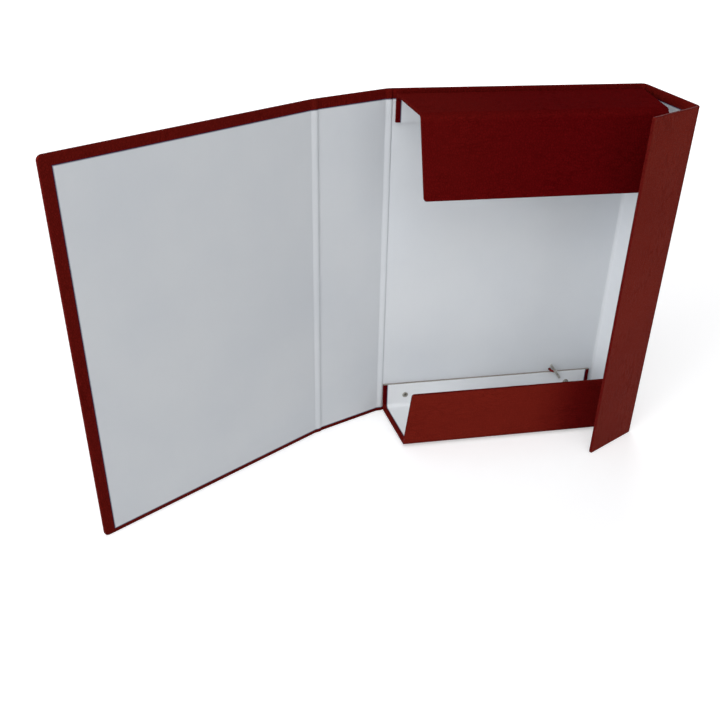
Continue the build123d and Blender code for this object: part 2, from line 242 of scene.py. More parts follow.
class Finish:
    """The nodes of one material, or of the world, as they are made up."""

    def __init__(self, owner):
        owner.use_nodes = True
        self.owner = owner
        self.tree = owner.node_tree
        self.tree.nodes.clear()

    def node(self, kind, settings=None, inputs=None, out=0):
        """A node of this type, with its settings made first and then its sockets' values or links."""
        made = self.tree.nodes.new(kind)
        for key, value in (settings or {}).items():
            setattr(made, key, value)
        for key, value in (inputs or {}).items():
            if isinstance(value, Wire):
                self.tree.links.new(value.socket, made.inputs[key])
            else:
                made.inputs[key].default_value = value
        return Wire(self, made.outputs[out]) if made.outputs else None

    def maths(self, operation, *values):
        """One step of arithmetic on numbers or wires."""
        return self.node("ShaderNodeMath", {"operation": operation}, dict(enumerate(values)))

    def least(self, first, *others):
        """The smallest of these values."""
        for other in others:
            first = self.maths("MINIMUM", first, other)
        return first

    def rise(self, value, start, end):
        """0 below start, 1 above end, and a smooth step between them; start may be the greater."""
        settings = {"interpolation_type": "SMOOTHSTEP"}
        return self.node("ShaderNodeMapRange", settings, {0: value, 1: start, 2: end})

    def mix(self, share, first, second):
        """The first colour at share 0, the second at share 1."""
        return self.node("ShaderNodeMix", {"data_type": "RGBA"}, {0: share, 6: first, 7: second}, out=2)

    def stretch(self, place, scale):
        """The place with each of its coordinates times its own scale."""
        return self.node("ShaderNodeVectorMath", {"operation": "MULTIPLY"}, {0: place, 1: scale})

    def shifted(self, place, share, reach):
        """The place moved by this share of the reach along each axis."""
        move = self.stretch(share, reach)
        return self.node("ShaderNodeVectorMath", {"operation": "ADD"}, {0: place, 1: move})

    def parts(self, place):
        """The three coordinates of a place."""
        split = self.node("ShaderNodeSeparateXYZ", None, {0: place})
        return [Wire(self, output) for output in split.socket.node.outputs]

    def noise(self, place, scale, detail=3.0):
        """Cloudy noise from 0 to 1, with this many ever finer layers."""
        inputs = {"Vector": place, "Scale": scale, "Detail": detail}
        return self.node("ShaderNodeTexNoise", None, inputs)

    def object_place(self):
        """Object coordinates of a point: they stay with the piece as it moves."""
        return self.node("ShaderNodeTexCoord", out=3)

    def cells(self, place, scale):
        """Distance from the nearest border between the cells of a random net, in cell widths."""
        settings = {"feature": "DISTANCE_TO_EDGE"}
        return self.node("ShaderNodeTexVoronoi", settings, {"Vector": place, "Scale": scale})

    def surface(self, colour, roughness, height, relief, strength=1.0, **constants):
        """The finished surface: colour, roughness and a relief of this depth for a height of 1."""
        bump = {"Strength": strength, "Distance": relief, "Height": height}
        raised = self.node("ShaderNodeBump", None, bump)
        inputs = {"Base Color": colour, "Roughness": roughness, "Normal": raised}
        for key, value in constants.items():
            inputs[key.replace("_", " ")] = value
        shader = self.node("ShaderNodeBsdfPrincipled", None, inputs)
        self.node("ShaderNodeOutputMaterial", None, {"Surface": shader})
        return self.owner

    def seen_share(self):
        """1 for rays that come from the camera or by way of a reflection or clear material, 0 for light."""
        ray = self.node("ShaderNodeLightPath").socket.node.outputs
        seen = Wire(self, ray["Is Camera Ray"]) + Wire(self, ray["Is Glossy Ray"])
        return self.least(seen + Wire(self, ray["Is Transmission Ray"]), 1.0)


def new_finish(name):
    """Empty finish on a new material."""
    return Finish(bpy.data.materials.new(name))


class Stretch:
    """A board or a fold of a sheet in its place: where its outer face starts and which way it runs.

    u runs along the sheet laid flat, v across it along the folds, and w from the outer face inwards.
    """

    def __init__(self, at, along, inward, start, sense):
        self.at = at
        self.along = along
        self.inward = inward
        self.start = start
        self.sense = sense
        self.across = np.cross(inward, sense * along)

    def sheet_place(self, finish):
        """Sheet coordinates u, v, w of a point of this board, from its Object coordinates.

        v is counted from the origin of the part, not from the place where the board starts.
        """
        turn = Matrix([self.sense * self.along, self.across, self.inward])
        shift = Vector((self.start, 0, 0)) - turn @ Vector(self.at)
        shift[1] = 0
        inputs = {0: finish.object_place(), 1: shift, 2: turn.to_euler()}
        return finish.node("ShaderNodeMapping", {"vector_type": "POINT"}, inputs)


class Bend(Stretch):
    """A fold of a sheet: an arc of this radius and angle on the outer face."""

    def __init__(self, at, along, inward, start, sense, groove, radius, angle):
        super().__init__(at, along, inward, start, sense)
        self.groove = groove
        self.radius = radius
        self.angle = angle

    def point(self, share, v, depth):
        """Point of the fold at this share of its angle, this v and this depth below the outer face.

        With r the radius less the depth, it lies r sin(turn) along and radius - r cos(turn) inward.
        """
        turn = self.angle * share
        reach = self.radius - depth
        level = v[..., None] * self.across
        forward = (reach * np.sin(turn))[..., None] * self.along
        inner = (self.radius - reach * np.cos(turn))[..., None] * self.inward
        return self.at + forward + inner + level - (self.at @ self.across) * self.across


class Walk:
    """Follows the outer face of a sheet from board to board round its folds."""

    def __init__(self, at, along, inward, start, sense=1):
        self.here = Stretch(np.array(at), along, inward, start, sense)

    def board(self, length):
        """Goes straight on over a board of this length."""
        passed = self.here
        ahead = passed.at + length * passed.along
        run = passed.start + passed.sense * length
        self.here = Stretch(ahead, passed.along, passed.inward, run, passed.sense)
        return passed

    def fold(self, groove, bend, opens_flat=True):
        """Goes round a fold whose groove is this wide, bent by this many degrees.

        Both boards end 2 groove / pi short of their square corner. The hinge line lies inset inwards from
        both outer faces there, and opens_flat puts it where the boards are one groove apart when the sheet
        is flat. With half angle h the arc's radius is ((square - inset) cos h + inset sin h) / sin h.
        """
        square = 2 * groove / math.pi
        inset = square - groove / 2 if opens_flat else square / 2
        angle = math.radians(bend)
        half = angle / 2
        radius = ((square - inset) * math.cos(half) + inset * math.sin(half)) / math.sin(half)
        old = self.here
        passed = Bend(old.at, old.along, old.inward, old.start, old.sense, groove, radius, angle)
        ahead = old.at + radius * (math.sin(angle) * old.along + (1 - math.cos(angle)) * old.inward)
        along = math.cos(angle) * old.along + math.sin(angle) * old.inward
        inward = math.cos(angle) * old.inward - math.sin(angle) * old.along
        self.here = Stretch(ahead, along, inward, old.start + old.sense * groove, old.sense)
        return passed


class Rim:
    """The wrapped edges of a board: two sides whose v is a + b u, and perhaps a free end at some u."""

    def __init__(self, low, high, margins, end=None, end_margin=0.0):
        self.low = low
        self.high = high
        self.margins = margins
        self.end = end
        self.end_margin = end_margin

    def distances(self, finish, u, v):
        """How far a point lies inside the nearest edge, and inside the paper's border."""
        below = v - (u * self.low[1] + self.low[0])
        above = u * self.high[1] + self.high[0] - v
        side = finish.least(below, above)
        paper_side = finish.least(below - self.margins[0], above - self.margins[1])
        if self.end is None:
            return side, paper_side
        inside = abs(u - self.end)
        return finish.least(side, inside), finish.least(paper_side, inside - self.end_margin)


def line_through(first, second):
    """a and b of the line a + b u through two points (u, v)."""
    slope = (second[1] - first[1]) / (second[0] - first[0])
    return first[1] - slope * first[0], slope


# The wraparound cover, from the back panel both ways
cover_radius = 2 * COVER_GROOVE / math.pi
side_depth = DEPTH + FLAP_GAP + LINED
spine_length = DEPTH - 2 * cover_radius
cover_length = WIDTH - LINED - COVER_EDGE_GAP - cover_radius
side_length = side_depth - 2 * cover_radius
closing_length = FLAP_WIDTH - cover_radius

to_spine = Walk((cover_radius - HALF_WIDTH, OUTER_FACE, 0), -X, -Y, cover_radius - HALF_WIDTH, sense=-1)
to_fore_edge = Walk((HALF_WIDTH - cover_radius, OUTER_FACE, 0), X, -Y, HALF_WIDTH - cover_radius)
boards = {"back": Stretch(np.array([0, OUTER_FACE, 0]), X, -Y, 0.0, 1)}
bends = {"spine_back_fold": to_spine.fold(COVER_GROOVE, SPINE_BEND)}
boards["spine"] = to_spine.board(spine_length)
bends["cover_spine_fold"] = to_spine.fold(COVER_GROOVE, COVER_BEND)
boards["front_cover"] = to_spine.board(cover_length)
bends["back_side_fold"] = to_fore_edge.fold(COVER_GROOVE, SIDE_BEND)
boards["side_wall"] = to_fore_edge.board(side_length)
bends["side_flap_fold"] = to_fore_edge.fold(COVER_GROOVE, CLOSING_BEND)
boards["closing_flap"] = to_fore_edge.board(closing_length)

full_height = ((0.0, 0.0), (HEIGHT, 0.0), (BOTTOM_MARGIN, TOP_MARGIN))
rims = {name: Rim(*full_height) for name in (*boards, *bends)}
rims["front_cover"] = Rim(*full_height, end=to_spine.here.start, end_margin=FORE_MARGIN)
rims["closing_flap"] = Rim(*full_height, end=to_fore_edge.here.start, end_margin=FORE_MARGIN)


def follow_end_flap(name, corner, up, leg, lip, gaps, taper, wall_opens, lip_opens):
    """Boards, folds and rims of a U-shaped flap: leg on the back, wall across the end, lip in front.

    gaps are its clearances at the spine and the fore edge, and taper is how far the wall narrows at each
    side.
    """
    square = 2 * FLAP_GROOVE / math.pi
    walk = Walk((0, LEG_FACE, corner - up * leg), up * Z, -Y, -leg)
    near_spine = LINED + gaps[0] - HALF_WIDTH
    near_fore = HALF_WIDTH - LINED - gaps[1]
    found = {f"{name}_leg": walk.board(leg - square)}
    wall_fold = walk.fold(FLAP_GROOVE, SQUARE_BEND, opens_flat=wall_opens)
    wall_start = walk.here.start
    found[f"{name}_wall"] = walk.board(LEG_FACE - LIP_FACE - 2 * square)
    wall_end = walk.here.start
    lip_fold = walk.fold(FLAP_GROOVE, SQUARE_BEND, opens_flat=lip_opens)
    lip_start = walk.here.start
    found[f"{name}_lip"] = walk.board(lip - square)
    lip_end = walk.here.start
    boards.update(found)
    bends[f"{name}_leg_wall_fold"] = wall_fold
    bends[f"{name}_wall_lip_fold"] = lip_fold

    def sides(u_first, taper_first, u_last, taper_last):
        """Two side lines in sheet coordinates, whose v runs against X where the flap goes up."""
        spine_line = line_through((u_first, near_spine + taper_first), (u_last, near_spine + taper_last))
        fore_line = line_through((u_first, near_fore - taper_first), (u_last, near_fore - taper_last))
        if up < 0:
            return spine_line, fore_line
        return tuple(-part for part in fore_line), tuple(-part for part in spine_line)

    margins = (END_MARGIN, END_MARGIN)
    rims[f"{name}_leg"] = Rim(*sides(-leg, 0, 0, 0), margins)
    rims[f"{name}_leg_wall_fold"] = Rim(*sides(-leg, 0, 0, 0), margins)
    rims[f"{name}_wall"] = Rim(*sides(wall_start, 0, wall_end, taper), margins)
    rims[f"{name}_wall_lip_fold"] = Rim(*sides(wall_end, taper, lip_end, taper), margins)
    narrowing = sides(lip_start, taper, lip_end, taper + LIP_TAPER)
    rims[f"{name}_lip"] = Rim(*narrowing, margins, end=lip_end, end_margin=LIP_MARGIN)


top_gaps, bottom_gaps = (WIDE_GAP, NARROW_GAP), (NARROW_GAP, WIDE_GAP)
follow_end_flap("top", HEIGHT - END_RECESS, 1, TOP_LEG, TOP_LIP, top_gaps, TOP_TAPER, True, False)
follow_end_flap("bottom", END_RECESS, -1, BOTTOM_LEG, BOTTOM_LIP, bottom_gaps, BOTTOM_TAPER, False, True)


def leather_pattern(finish, place, creasing):
    """Height, from 0 to 1, and crease depth of the grain pressed into the leatherette.

    Rounded pebbles two millimetres wide lie between furrows. In patches, long creases run along the folds:
    they are the borders of a random net whose cells are three millimetres wide and six times as long, and
    they lean both ways with a slow noise. The leather stands up between them as much as it sinks in.
    """
    lean = finish.shifted(place, finish.noise(place, LEAN_RATE, detail=2.0), (CREASE_LEAN, 0, 0))
    net = finish.cells(finish.stretch(lean, (1, 1 / CREASE_STRETCH, 1)), 1 / CREASE_WIDTH)
    patch = finish.rise(finish.noise(place, CREASED_PATCH_RATE, detail=2.0), 0.4, 0.62)
    crease = (0.6 - finish.rise(net, 0.02, 0.16)) * patch
    wander = finish.shifted(place, finish.noise(place, WANDER_RATE, detail=2.0), (PEBBLE_WANDER,) * 3)
    pebble = finish.rise(finish.cells(wander, PEBBLE_RATE), 0.0, 0.3)
    fine = finish.noise(place, FINE_GRAIN_RATE)
    height = pebble * 0.5 + fine * 0.2 - crease * creasing + 0.22
    return height, crease


def painted_sheen_along_cover(finish, u):
    """How strong the painted sheen on the cover's outer face is: least on the back, most on the closing
    flap.
    """
    towards_front_cover = finish.rise(u, -110 * mm, -250 * mm) * 0.2
    towards_side_wall = finish.rise(u, 110 * mm, 150 * mm) * 0.1
    towards_closing_flap = finish.rise(u, 185 * mm, 220 * mm) * 0.42
    return towards_front_cover + towards_side_wall + towards_closing_flap + 0.3


def leatherette(name, place_of, rim, polish_and_painted_sheen, sheen_fade=None, fold_share=None):
    """Red leatherette: grained, with painted shade darker in its furrows, worn and painted paler along its
    edges, with a painted highlight on its folds, a painted sheen, and a dark purple painted shadow line
    along the paper's border.

    place_of gives the sheet coordinates and rim the edges. The next argument tells how far the piece is
    polished by hands, which also sets the painted highlight on a fold; on an end flap it is also the share
    of the painted sheen, except from the first to the second v of the argument after it, where that painted
    sheen fades more and more.
    fold_share names the attribute that tells how far across a fold a point is.
    """
    finish = new_finish(name)
    place = place_of(finish)
    u, v, w = finish.parts(place)
    height, crease = leather_pattern(finish, place, 0.26 + 0.26 * polish_and_painted_sheen)
    edge, border = rim.distances(finish, u, v)
    mottle = finish.noise(place, MOTTLE_RATE, detail=4.0)
    wear_and_highlight_noise = finish.noise(place, WEAR_AND_HIGHLIGHT_RATE)
    # Wear along the wrapped edges, which are painted paler as highlight too
    wear_and_highlight = (1 - finish.rise(edge, 0.0, WORN_EDGE)) * (wear_and_highlight_noise * 0.6 - 0.1)
    # Painted highlight: the middle of a fold is painted paler, the more the piece is polished
    if fold_share is not None:
        across = finish.node("ShaderNodeAttribute", {"attribute_name": fold_share}, out=2)
        on_fold = 1 - finish.rise(abs(across - 0.5), 0.15, 0.5)
        wear_and_highlight = finish.maths("MAXIMUM", wear_and_highlight, on_fold * wear_and_highlight_noise * (0.4 * polish_and_painted_sheen))
    inner_face = finish.rise(w, PANEL - 0.3 * mm, PANEL - 0.1 * mm)
    # Painted shadow: a dark purple line on the turned-in margin along the paper's border
    seam = (1 - finish.rise(abs(border), *SHADOW_LINE_FADE)) * inner_face
    # Painted shade: darker red where the grain lies low in furrows and creases; the mottle is the
    # leatherette's own uneven tone
    tone_and_furrow_shade = finish.mix(height * 0.9 + mottle * 0.3 - 0.1, DEEP_RED, RED)
    # Painted sheen: a paler brown-red in patches, strongest on raised grain, weaker on the turned-in margin
    # and none at the very edge; on the cover it grows towards the closing flap, on an end flap it fades
    # along v
    cloud = finish.noise(place, CLOUD_RATE, detail=2.0)
    if sheen_fade is None:
        share = painted_sheen_along_cover(finish, u)
    else:
        share = (1 - finish.rise(v, *sheen_fade) * 0.8) * polish_and_painted_sheen
    patchy = cloud * 0.5 + height * 0.35 + 0.4
    painted_sheen = patchy * share * (1 - inner_face * 0.4) * finish.rise(edge, 0.0, SHEEN_FREE_EDGE)
    body = finish.mix(painted_sheen, tone_and_furrow_shade, PAINTED_SHEEN_RED)
    worn_and_highlit = finish.mix(wear_and_highlight * 0.75, body, WORN_AND_HIGHLIGHT_RED)
    colour = finish.mix(seam * 0.85, worn_and_highlit, PAINTED_SHADOW_LINE)
    roughness = mottle * 0.12 + 0.42 + crease * 0.1 - wear_and_highlight * 0.06
    sheen = {"Specular_IOR_Level": 0.03 * polish_and_painted_sheen**2, "IOR": 1.1 + 0.35 * polish_and_painted_sheen}
    return finish.surface(colour, roughness, height, GRAIN_DEPTH, strength=0.8, **sheen)


def lining_paper(name, place_of, rim, painted_light=0.0):
    """White lining paper: matt, faintly mottled and fibrous, with a dark purple painted shadow line along
    its border.

    The last argument tells how much whiter it is painted than the paper of the cover: painted light that
    makes up for shade.
    """
    finish = new_finish(name)
    place = place_of(finish)
    u, v, _ = finish.parts(place)
    border = rim.distances(finish, u, v)[1]
    cloud = finish.noise(place, PAPER_CLOUD_RATE)
    fibre = finish.noise(finish.stretch(place, (1, 0.3, 1)), FIBRE_RATE)
    laid = finish.noise(finish.stretch(place, (1, 0.08, 1)), LAID_RATE, detail=2.0)
    shade = finish.rise(cloud, 0.3, 0.75) * 0.6 + fibre * 0.25 + laid * 0.15
    # Painted shadow: a dark purple line along the paper's border
    edge = 1 - finish.rise(border, 0.0, SHADOW_BORDER)
    # Painted light: the paper of a shaded flap is whitened by a fixed share
    sheet = finish.mix(painted_light, finish.mix(shade, PAPER, PAPER_SHADE), PAINTED_LIGHT_PAPER)
    colour = finish.mix(edge * 0.75, sheet, PAINTED_SHADOW_LINE)
    roughness = fibre * 0.1 + 0.5
    height = fibre * 0.5 + laid * 0.5
    return finish.surface(colour, roughness, height, PAPER_RELIEF, strength=0.4, Specular_IOR_Level=0.25)


def greyboard():
    """Grey pulp board: matt and flecked."""
    finish = new_finish("greyboard")
    place = finish.object_place()
    fleck = finish.rise(finish.noise(place, FLECK_RATE, detail=4.0), 0.52, 0.68)
    pulp = finish.noise(place, PULP_RATE, detail=4.0)
    colour = finish.mix(fleck * 0.6 + pulp * 0.25, BOARD_GREY, BOARD_FLECK)
    return finish.surface(colour, pulp * 0.1 + 0.82, pulp + fleck * 0.3, BOARD_RELIEF, strength=0.8)


def nickel_plate(name, dull):
    """Nickel-plated steel: drawn lengthwise scratches and patches where the plating has tarnished.

    dull tells how far it is darkened all over.
    """
    finish = new_finish(name)
    place = finish.object_place()
    scratch = finish.noise(finish.stretch(place, (1, 1, 0.15)), SCRATCH_RATE)
    patch = finish.rise(finish.noise(place, TARNISH_RATE, detail=4.0), 0.45, 0.68)
    colour = finish.mix(patch * 0.5 + scratch * 0.2 + dull, NICKEL, TARNISH)
    roughness = patch * 0.22 + 0.24 + scratch * 0.1
    return finish.surface(colour, roughness, scratch, SCRATCH_RELIEF, strength=0.5, Metallic=1.0)


def braided_elastic():
    """Braided cover of the elastic: two sets of strands cross in diamonds, eight of each round the cord.

    The height is the greater of two sines, one winding left round the cord and one winding right.
    """
    finish = new_finish("elastic_braid")
    u, v, _ = finish.parts(finish.node("ShaderNodeUVMap"))
    turns, steps = STRANDS * 2 * math.pi, CROSSINGS * 2 * math.pi
    leftward = finish.maths("SINE", u * turns + v * steps)
    rightward = finish.maths("SINE", u * turns - v * steps)
    strand = finish.maths("MAXIMUM", leftward, rightward) * 0.5 + 0.5
    fuzz = finish.noise(finish.object_place(), FUZZ_RATE, detail=2.0)
    # Painted shade: darker down between the strands, where the braid lies low
    colour = finish.mix(strand * 0.75 + fuzz * 0.25, ELASTIC_DARK, ELASTIC_RED)
    roughness = fuzz * 0.1 + 0.6
    return finish.surface(colour, roughness, strand + fuzz * 0.2, BRAID_RELIEF, Specular_IOR_Level=0.2)


def surface_mesh(name, points, closed_along=False, closed_round=True, capped=True):
    """Mesh of a grid of points, whose rows run along the piece and whose columns run round it.

    Quads join each row to the next; capped closes the first and last rings with one face each.
    """
    rows, columns = points.shape[:2]
    index = np.arange(rows * columns).reshape(rows, columns)
    row_range = np.arange(rows if closed_along else rows - 1)
    column_range = np.arange(columns if closed_round else columns - 1)
    r, c = np.meshgrid(row_range, column_range, indexing="ij")
    r_next, c_next = (r + 1) % rows, (c + 1) % columns
    corners = [index[r, c], index[r, c_next], index[r_next, c_next], index[r_next, c]]
    faces = np.stack(corners, -1).reshape(-1, 4).tolist()
    if capped and not closed_along:
        faces += [index[0][::-1].tolist(), index[-1].tolist()]
    mesh = bpy.data.meshes.new(name)
    mesh.from_pydata(points.reshape(-1, 3), [], faces)
    mesh.validate()
    mesh.shade_smooth()
    mesh.set_sharp_from_angle(angle=SHARP_FROM)
    made = bpy.data.objects.new(name, mesh)
    bpy.context.scene.collection.objects.link(made)
    return made


def rounded_ring(low, high, near, far, radius):
    """Ring of points (v, depth) round a rectangle whose corners are quarter circles of this radius.

    The two sides that run along v have points all along them too.
    """
    quarter = np.linspace(0, math.pi / 2, CORNER_STEPS)
    sides = np.linspace(0, 1, SIDE_STEPS)[1:-1]
    corners = []
    centres = [(high, far), (low, far), (low, near), (high, near)]
    for turn, (v, depth) in enumerate(centres):
        inward_v = -radius if v == high else radius
        inward_depth = -radius if depth == far else radius
        angle = quarter + turn * math.pi / 2
        round_v = v + inward_v + radius * np.cos(angle)
        round_depth = depth + inward_depth + radius * np.sin(angle)
        corners.append(np.stack([round_v, round_depth], 1))
    pieces = []
    for turn, ring in enumerate(corners):
        following = corners[(turn + 1) % 4]
        pieces.append(ring)
        if turn % 2 == 0:
            pieces.append(ring[-1] + sides[:, None] * (following[0] - ring[-1]))
    return np.concatenate(pieces)


def add_sheet_places(made, bend, shares, places):
    """Keeps on the mesh each point's flat sheet coordinates and its share of the way across the fold."""
    u = bend.start + bend.sense * bend.groove * shares
    flat = np.stack([u, places[..., 0], places[..., 1]], -1).reshape(-1, 3)
    kept = made.data.attributes.new("sheet", "FLOAT_VECTOR", "POINT")
    kept.data.foreach_set("vector", flat.astype(np.float32).ravel())
    across = made.data.attributes.new("across_fold", "FLOAT", "POINT")
    across.data.foreach_set("value", shares.astype(np.float32).ravel())


def fold_piece(name, bend, span, depths, ridge, radius):
    """Strip round a fold: the ring of its cross-section carried along the arc.

    A point at depth d is pushed inwards by the ridge times d / LINED, so the paper stands up in the groove,
    steeper towards its start, and the outer face keeps to its circle.
    """
    ring = rounded_ring(*span, *depths, radius)
    share = np.repeat(np.linspace(0, 1, ARC_STEPS)[:, None], len(ring), axis=1)
    places = np.broadcast_to(ring, (ARC_STEPS, *ring.shape))
    ridge_here = ridge * share**RIDGE_RISE * (1 - share) ** RIDGE_FALL / RIDGE_PEAK
    swell = ridge_here * places[..., 1] / LINED
    points = bend.point(share, places[..., 0], places[..., 1] + swell)
    if bend.sense > 0:
        points, share, places = points[:, ::-1], share[:, ::-1], places[:, ::-1]
    made = surface_mesh(name, points)
    add_sheet_places(made, bend, share, places)
    return made


def sheet_attribute(finish):
    """Sheet coordinates u, v, w kept on the mesh of a fold."""
    return finish.node("ShaderNodeAttribute", {"attribute_name": "sheet"}, out=1)


def span_of(bend, rim):
    """Lowest and highest v of a fold, at its middle."""
    u = bend.start + bend.sense * bend.groove / 2
    return rim.low[0] + rim.low[1] * u, rim.high[0] + rim.high[1] * u


# How far each piece is polished by hands, from 0 to 1: it also sets the painted highlight on folds and, on
# the end flaps, the painted sheen
POLISH_AND_PAINTED_SHEEN = {
    "back": 0.3,
    "spine_back_fold": 0.35,
    "spine": 0.4,
    "cover_spine_fold": 0.45,
    "front_cover": 0.5,
    "back_side_fold": 0.35,
    "side_wall": 0.4,
    "side_flap_fold": 0.6,
    "closing_flap": 0.82,
    "top_leg": 0.0,
    "top_leg_wall_fold": 0.1,
    "top_wall": 0.15,
    "top_wall_lip_fold": 0.12,
    "top_lip": 0.1,
    "bottom_leg": 0.0,
    "bottom_leg_wall_fold": 0.4,
    "bottom_wall": 0.5,
    "bottom_wall_lip_fold": 0.6,
    "bottom_lip": 0.65,
}

# v from which the painted sheen on each end flap fades, and v where it is faintest
SHEEN_FADE = {"top": (100 * mm, -30 * mm), "bottom": (20 * mm, 80 * mm)}

# How much whiter the paper is painted than that of the cover: painted light that makes up for the shade
# inside the bottom flap
PAINTED_FILL_LIGHT = {"bottom": 0.8}


def leather_look(name):
    """Handling, which sets the gloss, the creasing, the painted highlight on folds and the painted sheen of
    an end flap, and the stretch where that painted sheen fades, of the leatherette on a board or a fold.
    """
    return {"polish_and_painted_sheen": POLISH_AND_PAINTED_SHEEN[name], "sheen_fade": SHEEN_FADE.get(name.split("_")[0])}


def painted_fill_light(name):
    """How much painted light whitens the paper on a board or a fold."""
    return PAINTED_FILL_LIGHT.get(name.split("_")[0], 0.0)


def dress_fold(name, ridge):
    """Leatherette and paper of one fold, both shaped round its arc."""
    bend, rim = bends[name], rims[name]
    low, high = span_of(bend, rim)
    cloth = fold_piece(f"{name}_leatherette", bend, (low, high), (0, PANEL), ridge, WRAP_ROUND)
    paper_span = (low + rim.margins[0], high - rim.margins[1])
    paper = fold_piece(f"{name}_paper", bend, paper_span, (SKIN + BOARD, LINED), ridge, LINING / 5)
    look = leather_look(name)
    red = leatherette(f"{name}_leatherette", sheet_attribute, rim, fold_share="across_fold", **look)
    cloth.data.materials.append(red)
    paper.data.materials.append(lining_paper(f"{name}_paper", sheet_attribute, rim, painted_fill_light(name)))
    first_edge, second_edge = bend.point(np.array([0.0, 1.0]), np.zeros(2), np.full(2, LINED))
    for piece, slot in ((cloth, "red_leatherette"), (paper, "white_lining")):
        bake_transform(piece)
    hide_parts(name)


dress_fold("spine_back_fold", SPINE_RIDGE)
dress_fold("cover_spine_fold", SPINE_RIDGE)
dress_fold("back_side_fold", CORNER_RIDGE)
dress_fold("side_flap_fold", CORNER_RIDGE)
for end in ("top", "bottom"):
    dress_fold(f"{end}_leg_wall_fold", CORNER_RIDGE)
    dress_fold(f"{end}_wall_lip_fold", CORNER_RIDGE)


def route_points(name, route):
    """Points of a smooth line guided by the route: a quadratic spline that starts and ends on it."""
    curve = bpy.data.curves.new(name, "CURVE")
    curve.dimensions = "3D"
    spline = curve.splines.new("NURBS")
    spline.points.add(len(route) - 1)
    spline.points.foreach_set("co", np.append(route, np.ones((len(route), 1)), 1).ravel())
    spline.order_u = 3
    spline.use_endpoint_u = True
    spline.resolution_u = 16
    carrier = bpy.data.objects.new(name, curve)
    bpy.context.scene.collection.objects.link(carrier)
    line = bpy.data.meshes.new_from_object(carrier)
    points = np.zeros(len(line.vertices) * 3)
    line.vertices.foreach_get("co", points)
    bpy.data.objects.remove(carrier)
    return points.reshape(-1, 3)


def braided_cord(name, route, radius):
    """Round cord: circles of this radius square to the line, which start from X where the line allows it."""
    line = route_points(name, np.array(route))
    ahead = np.gradient(line, axis=0)
    ahead /= np.linalg.norm(ahead, axis=1, keepdims=True)
    side = X - (ahead @ X)[:, None] * ahead
    weak = np.linalg.norm(side, axis=1) < 0.5
    side[weak] = (Y - (ahead @ Y)[:, None] * ahead)[weak]
    side /= np.linalg.norm(side, axis=1, keepdims=True)
    up = np.cross(ahead, side)
    turn = np.linspace(0, 2 * math.pi, CORD_STEPS, endpoint=False)
    ring = np.cos(turn)[None, :, None] * side[:, None] + np.sin(turn)[None, :, None] * up[:, None]
    made = surface_mesh(name, line[:, None] + radius * ring)
    paces = np.linalg.norm(np.diff(line, axis=0), axis=1)
    add_ring_uv(made, len(line), CORD_STEPS, np.append(0, np.cumsum(paces)) / (2 * radius))
    return made


def add_ring_uv(made, rows, columns, run):
    """UV of a tube: u once round, v the distance along it in diameters, with a seam at the first column."""
    corner = np.zeros(len(made.data.loops), dtype=np.int32)
    made.data.loops.foreach_get("vertex_index", corner)
    row, column = corner // columns, corner % columns
    face_of = np.repeat(np.arange(len(made.data.polygons)), [p.loop_total for p in made.data.polygons])
    last_strip = (face_of % columns == columns - 1) & (face_of < (rows - 1) * columns)
    u = np.where(last_strip & (column == 0), 1.0, column / columns)
    layer = made.data.uv_layers.new(name="UVMap")
    layer.data.foreach_set("uv", np.stack([u, run[row]], 1).astype(np.float32).ravel())


def cord_place(up, corner, leg):
    """x and z of the hole just past the end of a leg."""
    return HALF_WIDTH - FLAP_WIDTH + CORD_FROM_FLAP_EDGE, corner - up * (leg + CORD_FROM_LEG)


CORD_X, LOW_HOLE = cord_place(-1, END_RECESS, BOTTOM_LEG)
HIGH_HOLE = cord_place(1, HEIGHT - END_RECESS, TOP_LEG)[1]
BEHIND = OUTER_FACE + CORD_OFF_FACE + CORD_RADIUS
THROUGH = BEHIND - LEG_FACE
STUB_FACE = LEG_INNER_FACE - STUB_CLEAR - SLEEVE_RADIUS

cord_route = [
    (CORD_X, LEG_FACE, LOW_HOLE),
    (CORD_X, BEHIND, LOW_HOLE),
    (CORD_X, BEHIND, LOW_HOLE + THROUGH),
    (CORD_X, BEHIND, HIGH_HOLE - THROUGH),
    (CORD_X, BEHIND, HIGH_HOLE),
    (CORD_X, LEG_FACE, HIGH_HOLE),
]
braid = braided_elastic()
elastic = braided_cord("elastic_braid", cord_route, CORD_RADIUS)
elastic.data.materials.append(braid)
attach(elastic, "back")
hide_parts("elastic_cord")


def bar_surface(length, width, thick):
    """Flat bar with round ends: rounded oblong sections, closed to a point at each end.

    Their half width falls as a quarter circle over the last half width, and the thickness falls off with
    it. A shallow groove runs down the middle of the face that shows.
    """
    s = np.sin(np.linspace(-math.pi / 2, math.pi / 2, 41))[:, None] * length / 2
    over = np.clip((np.abs(s) - (length - width) / 2) / (width / 2), 0, 1)
    half_width = width / 2 * np.sqrt(1 - over**2)
    half_thick = thick / 2 * np.sqrt(1 - over**4)
    turn = np.linspace(0, 2 * math.pi, 28, endpoint=False)[None, :]
    y = half_width * np.sign(np.cos(turn)) * np.abs(np.cos(turn)) ** 0.6
    z = half_thick * np.sign(np.sin(turn)) * np.abs(np.sin(turn)) ** 0.5
    groove = 0.12 * thick * np.exp(-((y / (0.3 * width)) ** 2)) * (z > 0)
    return np.stack(np.broadcast_arrays(s, y, z - groove), -1)


